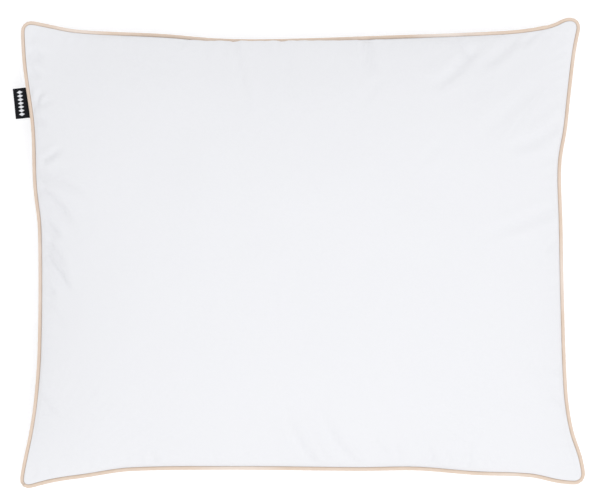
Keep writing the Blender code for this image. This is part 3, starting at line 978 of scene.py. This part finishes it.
def makePipingCover():
    join = joinDistance()
    distances = np.concatenate([
        np.arange(piping["stations"]) * seamTotal / piping["stations"],
        join + np.linspace(-0.002, piping["joinLength"] + 0.004, piping["joinSteps"])])
    distances = np.unique(np.round(distances, 6))
    mouth = math.asin(legU / coverRadius)
    sweep = 2 * (math.pi - mouth)
    legEnd = cordN - coverRadius * math.cos(mouth)
    legs = np.linspace(-layers["allowance"], legEnd, 4)[:-1]
    swell = 1 + piping["swell"] * alongNoise(distances, piping["swellLength"], 41)
    shiftN = piping["wobble"] * alongNoise(distances, piping["wobbleLengths"][0], 42)
    shiftU = piping["wobble"] * alongNoise(distances, piping["wobbleLengths"][1], 43)
    warp = piping["rippleWarp"] * alongNoise(distances, piping["rippleWarpLength"], 44)
    same = np.ones(len(distances))
    section = [(same * n, same * legU, n + layers["allowance"]) for n in legs]
    for k in range(piping["roundPoints"] + 1):
        angle = math.pi - mouth - sweep * k / piping["roundPoints"]
        facing = smoothStep(np.array((math.cos(angle) + 0.75) / 0.8))
        wave = np.sin(math.tau * distances / piping["rippleLength"] + piping["rippleSlant"] * angle + warp)
        start = join + piping["joinSlant"] * (1 + math.sin(angle)) / 2
        over = smoothStep((distances - start) / piping["joinStep"])
        over = over * smoothStep((join + piping["joinLength"] - distances) / piping["joinEnd"])
        uneven = coverRadius * (swell - 1) + piping["ripple"] * wave + piping["joinRise"] * over
        radius = coverRadius + facing * uneven
        section.append((cordN + facing * shiftN + radius * math.cos(angle),
                        facing * shiftU + radius * math.sin(angle),
                        legEnd + layers["allowance"] + coverRadius * sweep * k / piping["roundPoints"]))
    strip = section[-1][2] + legEnd + layers["allowance"]
    section += [(same * n, same * -legU, strip - n - layers["allowance"]) for n in legs[::-1]]
    points = np.stack([sectionAt(distances, n, u) for n, u, _ in section], axis=1)
    flat = np.stack([np.stack([distances, same * v, same * 0], axis=-1) for _, _, v in section], axis=1)
    wide = len(section)
    faces = []
    for i in range(len(distances)):
        m = (i + 1) % len(distances)
        for j in range(wide - 1):
            faces.append((i * wide + j, m * wide + j, m * wide + j + 1, i * wide + j + 1))
    obj = meshObject("pipingCover", points.reshape(-1, 3), faces, satinMaterial, flat.reshape(-1, 3))
    thicken(obj, layers["piping"])
    return obj, (round(strip, 4), round(seamTotal, 3))


def sweepTube(name, distances, n, u, radius, sides, finish, closed):
    # round cord or thread at n, u of the section; radius(angle) may vary along it
    ring = [math.tau * k / sides for k in range(sides)]
    points = np.stack([sectionAt(distances, n + radius(a) * math.cos(a), u + radius(a) * math.sin(a))
                       for a in ring], axis=1)
    count = len(distances)
    faces = []
    for i in range(count if closed else count - 1):
        m = (i + 1) % count
        for j in range(sides):
            k = (j + 1) % sides
            faces.append((i * sides + j, i * sides + k, m * sides + k, m * sides + j))
    if not closed:
        faces += [tuple(range(sides))[::-1], tuple(range((count - 1) * sides, count * sides))]
    return meshObject(name, points.reshape(-1, 3), faces, finish)


pipingCover, stripCut = makePipingCover()

cordTwist = {"plies": 3, "turn": 0.009, "groove": 0.10, "stations": 960, "sides": 18}
cordDistances = np.arange(cordTwist["stations"]) * seamTotal / cordTwist["stations"]
cordTurns = round(seamTotal / cordTwist["turn"])


def cordRadius(angle):
    twist = cordTwist["plies"] * (angle - math.tau * cordTurns * cordDistances / seamTotal)
    return layers["cord"] * (1 - cordTwist["groove"] * (1 - np.abs(np.cos(twist / 2))))


pipingCord = sweepTube("pipingCord", cordDistances, cordN, 0.0, cordRadius, cordTwist["sides"],
                       cordMaterial, True)
print("piping made")

# Seam threads: machine lockstitch, left open at the front where the filling went in.
stitching = {
    "pitch": 0.0026,
    "perStitch": 5,
    "sides": 6,
    "knotShare": 0.72,        # radius of the thread where it dives, as a share
    "knotDepth": 0.00006,
    "opening": 0.160,
    "handPitch": 0.0042,
    "handSlant": 0.0016,
    "handSides": 7,
    "handPath": [(0.00002, -0.00262), (0.00020, -0.00278), (0.00062, -0.00268),
                 (0.00100, -0.00240), (0.00124, -0.00208)],     # n and u of one stitch
    "handShares": [0.55, 0.95, 1.0, 0.95, 0.55],      # and its radius there
}
openingStart = (cornerTravel[0] + cornerTravel[1]) / 2 - stitching["opening"] / 2
openingEnd = openingStart + stitching["opening"]


def makeSeamThread(name, side):
    length = seamTotal - stitching["opening"]
    stitches = round(length / stitching["pitch"])
    steps = np.arange(stitches * stitching["perStitch"] + 1)
    distances = openingEnd + steps * length / steps[-1]
    swing = np.abs(np.sin(math.pi * steps / stitching["perStitch"]))
    knot = stitching["knotShare"]
    radius = layers["thread"] * (knot + (1 - knot) * swing)
    n = -layers["foldInset"] - layers["fit"]
    u = side * (threadU - stitching["knotDepth"] * (1 - swing))
    return sweepTube(name, distances, n, u, lambda angle: radius, stitching["sides"], threadMaterial, False)


def makeClosingStitches():
    # short slanted hand stitches across the groove under the piping
    count = round(stitching["opening"] / stitching["handPitch"])
    path = stitching["handPath"]
    sides = stitching["handSides"]
    vertices, faces = [], []
    for k in range(count):
        start = openingStart + (k + 0.25) * stitching["handPitch"]
        first = len(vertices)
        for step, ((n, u), share) in enumerate(zip(path, stitching["handShares"])):
            before, after = path[max(step - 1, 0)], path[min(step + 1, len(path) - 1)]
            way = Vector((after[0] - before[0], after[1] - before[1])).normalized()
            centre = start + stitching["handSlant"] * step / (len(path) - 1)
            radius = layers["thread"] * share
            for j in range(sides):
                a = math.tau * j / sides
                off = radius * math.cos(a)
                place = sectionAt(np.array([centre + radius * math.sin(a)]), n - way.y * off, u + way.x * off)
                vertices.append(place[0])
        for step in range(len(path) - 1):
            for j in range(sides):
                m = (j + 1) % sides
                a, b = first + step * sides, first + (step + 1) * sides
                faces.append((a + j, a + m, b + m, b + j))
        last = first + (len(path) - 1) * sides
        faces += [tuple(first + j for j in range(sides))[::-1], tuple(last + j for j in range(sides))]
    return meshObject("closingStitches", vertices, faces, threadMaterial)


needleThread = makeSeamThread("needleThread", 1)
bobbinThread = makeSeamThread("bobbinThread", -1)
closingStitches = makeClosingStitches()
print("threads made")

# Labels: a woven tab folded double and a satin ribbon, each laid out along its own hinge line.
tab = {
    "along": 0.033,
    "out": 0.0134,
    "ply": 0.0003,
    "gap": 0.0002,
    "steps": 34,
    "noseSteps": 8,
    "curl": 0.0007,
    "lean": 0.6,
    "waves": [(1.0, 4.1, 0.6), (0.4, 9.0, 1.0)],      # strength, radians across it, and start
    "color": (0.004, 0.0045, 0.007, 1),
    "markColor": (0.80, 0.81, 0.84, 1),
    "lozenge": (0.0020, 0.0034),    # half length and half width of one
    "pitch": 0.0040,
    "markLength": 0.0280,
    "markMiddle": 0.0064,
}
ribbon = {
    "along": 0.028,
    "down": 0.042,
    "ply": 0.0003,
    "steps": 24,
    "curl": 0.0022,
    "belly": 2.6,
    "sway": 0.5,
    "color": (0.84, 0.84, 0.84, 1),
    "deeper": (0.78, 0.78, 0.79, 1),
}


def wovenFinish():
    finish = Finish("blackDamask")
    flat = finish.attribute("clothFlat")
    x, y, _ = finish.parts(flat)
    weave = finish.wave(x * (math.tau / 0.0004)) * finish.wave(y * (math.tau / 0.0003))
    pitch = tab["pitch"]
    # the half mark puts a lozenge at the middle, and the whole ones keep this above nought
    local = finish.maths("PINGPONG", x + 60.5 * pitch, pitch / 2)
    fromMiddle = finish.maths("ABSOLUTE", y - tab["markMiddle"])
    inside = 1.0 - (pitch / 2 - local) / tab["lozenge"][0] - fromMiddle / tab["lozenge"][1]
    row = finish.maths("LESS_THAN", finish.maths("ABSOLUTE", x), tab["markLength"] / 2)
    clamped = {"operation": "MULTIPLY", "use_clamp": True}
    mark = finish.node("ShaderNodeMath", clamped, {0: inside * 6.0, 1: row})
    return finish.set(
        color=finish.mixColors(mark, tab["color"], tab["markColor"]),
        roughness=mark * 0.1 + 0.55, normal=finish.bump(weave * 0.6 + mark, 0.00006),
        specular=0.15)


def ribbonFinish():
    finish = Finish("whiteSatinRibbon")
    flat = finish.attribute("clothFlat")
    yarns = finish.wave(finish.parts(flat)[0] * (math.tau / 0.0005))
    grain = finish.noise(flat, 700.0)
    return finish.set(
        color=finish.mixColors(grain, ribbon["color"], ribbon["deeper"]),
        roughness=grain * 0.1 + 0.33, normal=finish.bump(yarns + grain * 0.5, 0.00003),
        sheen=0.2, specular=0.5)


def jointFrame(name):
    # place, along, outward and up directions of a label's hinge
    joint = next(j for j in frame["record"]["behaviour"]["joints"] if j["name"] == name)
    place, along = Vector(joint["pos_m"]), Vector(joint["axis"]).normalized()
    station = int(np.argmin(np.linalg.norm(seamPoints - np.array(place), axis=1)))
    rise = along.cross(Vector(seamOuts[station])).normalized()
    if rise.z < 0:
        rise = -rise
    outward = rise.cross(along).normalized()
    if outward.dot(Vector(seamOuts[station])) < 0:
        outward = -outward
    return place, along, outward, rise


def stripFromPath(name, hinge, size, path, finish, bend, folded=False):
    # cloth strip: a path of (outward, up) points drawn out along the hinge; on a folded one,
    # both leaves show the same part of the weave
    place, along, outward, rise = hinge
    width, steps = size["along"], size["steps"]
    vertices, flats = [], []
    travelled = [0]
    for before, after in zip(path, path[1:]):
        travelled.append(travelled[-1] + math.dist(before, after))
    for i in range(steps + 1):
        x = width * (i / steps - 0.5)
        for (y, z), far in zip(path, travelled):
            lift = bend(x, y, z)
            vertices.append(place + along * x + outward * (y + lift[0]) + rise * (z + lift[1]))
            flats.append((x, y if folded else far, 0))
    faces = gridFaces(steps, len(path) - 1)
    return meshObject(name, vertices, faces, finish, flats)


def throughPoints(points, perSpan):
    # smooth path through (y, z) points
    path = []
    for k in range(len(points) - 1):
        p0, p1, p2, p3 = (np.array(points[min(max(m, 0), len(points) - 1)]) for m in range(k - 1, k + 3))
        for step in range(perSpan):
            t = step / perSpan
            path.append(0.5 * (2 * p1 + (p2 - p0) * t + (2 * p0 - 5 * p1 + 4 * p2 - p3) * t ** 2
                               + (3 * p1 - p0 - 3 * p2 + p3) * t ** 3))
    return [tuple(p) for p in path] + [tuple(points[-1])]


def makeWovenTab():
    hinge = jointFrame("brand_label_flap")
    place, _, outward, _ = hinge
    half = (tab["gap"] + tab["ply"]) / 2
    tip = tab["out"] - half - tab["ply"] / 2
    # from its root under the piping to its fold
    middle = throughPoints([
        (-0.0040, -0.0009), (-0.0026, -0.0014), (-0.0011, -0.0008), (0.0004, -0.0001),
        (0.0022, 0.0), (0.005, 0.0), (0.008, 0.0), (tip, 0.0)], 4)
    sides = []
    for sign in (1, -1):
        row = []
        for k, (y, z) in enumerate(middle):
            before, after = middle[max(k - 1, 0)], middle[min(k + 1, len(middle) - 1)]
            way = Vector((after[0] - before[0], after[1] - before[1])).normalized()
            row.append((y - way.y * sign * half, z + way.x * sign * half))
        sides.append(row)
    turn = [math.pi * (0.5 - k / tab["noseSteps"]) for k in range(1, tab["noseSteps"])]
    nose = [(tip + half * math.cos(a), half * math.sin(a)) for a in turn]
    path = sides[0] + nose + sides[1][::-1]

    def bend(x, y, z):
        reach = max(y, 0) / tab["out"]
        share = x / tab["along"]
        wave = sum(strength * math.sin(share * turns + start) for strength, turns, start in tab["waves"])
        return 0.0, tab["curl"] * reach ** 2 * (tab["lean"] - wave)

    obj = stripFromPath("wovenTab", hinge, tab, path, wovenFinish(), bend, folded=True)
    thicken(obj, tab["ply"])
    place - outward * 0.0014
    place + outward * 0.0012
    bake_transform(obj)
    return obj


def makeCareRibbon():
    hinge = jointFrame("care_label_swing")
    place, _, _, rise = hinge
    path = throughPoints([(-0.0003, 0.0006), (0.0, 0.0), (0.0, -0.003), (0.0, -0.010), (0.0, -0.020),
                          (0.0, -0.030), (0.0, -ribbon["down"])], 5)

    def bend(x, y, z):
        reach = max(-z, 0) / ribbon["down"]
        wave = math.sin(x / ribbon["along"] * 3.4 + reach * 1.5)
        belly = reach * (1 - reach) * ribbon["belly"]
        return ribbon["curl"] * (belly + ribbon["sway"] * reach ** 2 * wave), 0.0

    obj = stripFromPath("careRibbon", hinge, ribbon, path, ribbonFinish(), bend)
    thicken(obj, ribbon["ply"])
    place + rise * 0.0005
    place - rise * 0.0030
    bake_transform(obj)
    return obj


wovenTab = makeWovenTab()
careRibbon = makeCareRibbon()
print("labels made")

# Each piece with the imported part it stands for and its finish slot; all but the labels ride on the pillow
for piece, node, finishSlot in (
        (topPanel, "top_panel", "casing"), (bottomPanel, "bottom_panel", "casing"),
        (fibreFilling, "filling", "filling"), (pipingCover, "piping_cover", "piping"),
        (pipingCord, "piping_cord", "cord"), (needleThread, "seam_needle_thread", "thread"),
        (bobbinThread, "seam_bobbin_thread", "thread"), (closingStitches, "closing_stitch", "thread"),
        (wovenTab, "brand_label", "brand_label"), (careRibbon, "care_label", "care_label")):
    if piece not in (wovenTab, careRibbon):
        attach(piece, "pillow")
    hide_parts(node)

# Floor, lights and camera
studio = {
    "floorColor": (0.86, 0.86, 0.86, 1),
    "floorGlow": 0.25,
    "floorHalf": 6.0,
    "floorGap": 0.0002,       # between the floor and the pillow
    "sky": 0.902,
    "skyColor": (0.99, 0.99, 1.0, 1),
    "key": 14.6,
    "keyPlace": (0.45, -0.7, 2.4),
    "keySize": 1.8,
    "keyAim": (0, 0, 0.05),
    "cameraHeight": 3.0,
    "cameraTilt": 2.5,        # degrees towards the front
    "aim": (-0.0018, 0.0008, 0.053),
    "view": 0.6365,           # width of the picture at the seam
}


def makeFloor():
    finish = Finish("paleFloor")
    finish.set(color=studio["floorColor"], roughness=0.9, specular=0.1)
    finish.shader.inputs["Emission Color"].default_value = (1, 1, 1, 1)
    finish.shader.inputs["Emission Strength"].default_value = studio["floorGlow"]
    floor = squareObject("studioFloor", studio["floorHalf"], 0)
    floor.data.materials.append(finish.material)
    floor.location.z = -studio["floorGap"]


def makeLights():
    world = bpy.data.worlds.new("studioSky")
    scene.world = world
    world.use_nodes = True
    background = world.node_tree.nodes["Background"]
    background.inputs["Color"].default_value = studio["skyColor"]
    background.inputs["Strength"].default_value = studio["sky"]
    light = bpy.data.lights.new("softbox", "AREA")
    light.shape = "DISK"
    light.size = studio["keySize"]
    light.energy = studio["key"]
    lamp = bpy.data.objects.new("softbox", light)
    scene.collection.objects.link(lamp)
    lamp.location = studio["keyPlace"]
    toPillow = Vector(studio["keyAim"]) - lamp.location
    lamp.rotation_euler = toPillow.to_track_quat("-Z", "Y").to_euler()


def makeCamera():
    data = bpy.data.cameras.new("camera")
    camera = bpy.data.objects.new("camera", data)
    scene.collection.objects.link(camera)
    tilt = math.radians(studio["cameraTilt"])
    away = studio["cameraHeight"] - studio["aim"][2]
    camera.location = Vector(studio["aim"]) + Vector((0, -math.sin(tilt), math.cos(tilt))) * away
    camera.rotation_euler = (tilt, 0, 0)
    data.sensor_width = 36.0
    data.lens = data.sensor_width * away / studio["view"]
    data.clip_end = 50
    scene.camera = camera


makeFloor()
makeLights()
makeCamera()
scene.view_settings.view_transform = "Standard"
print("studio made")
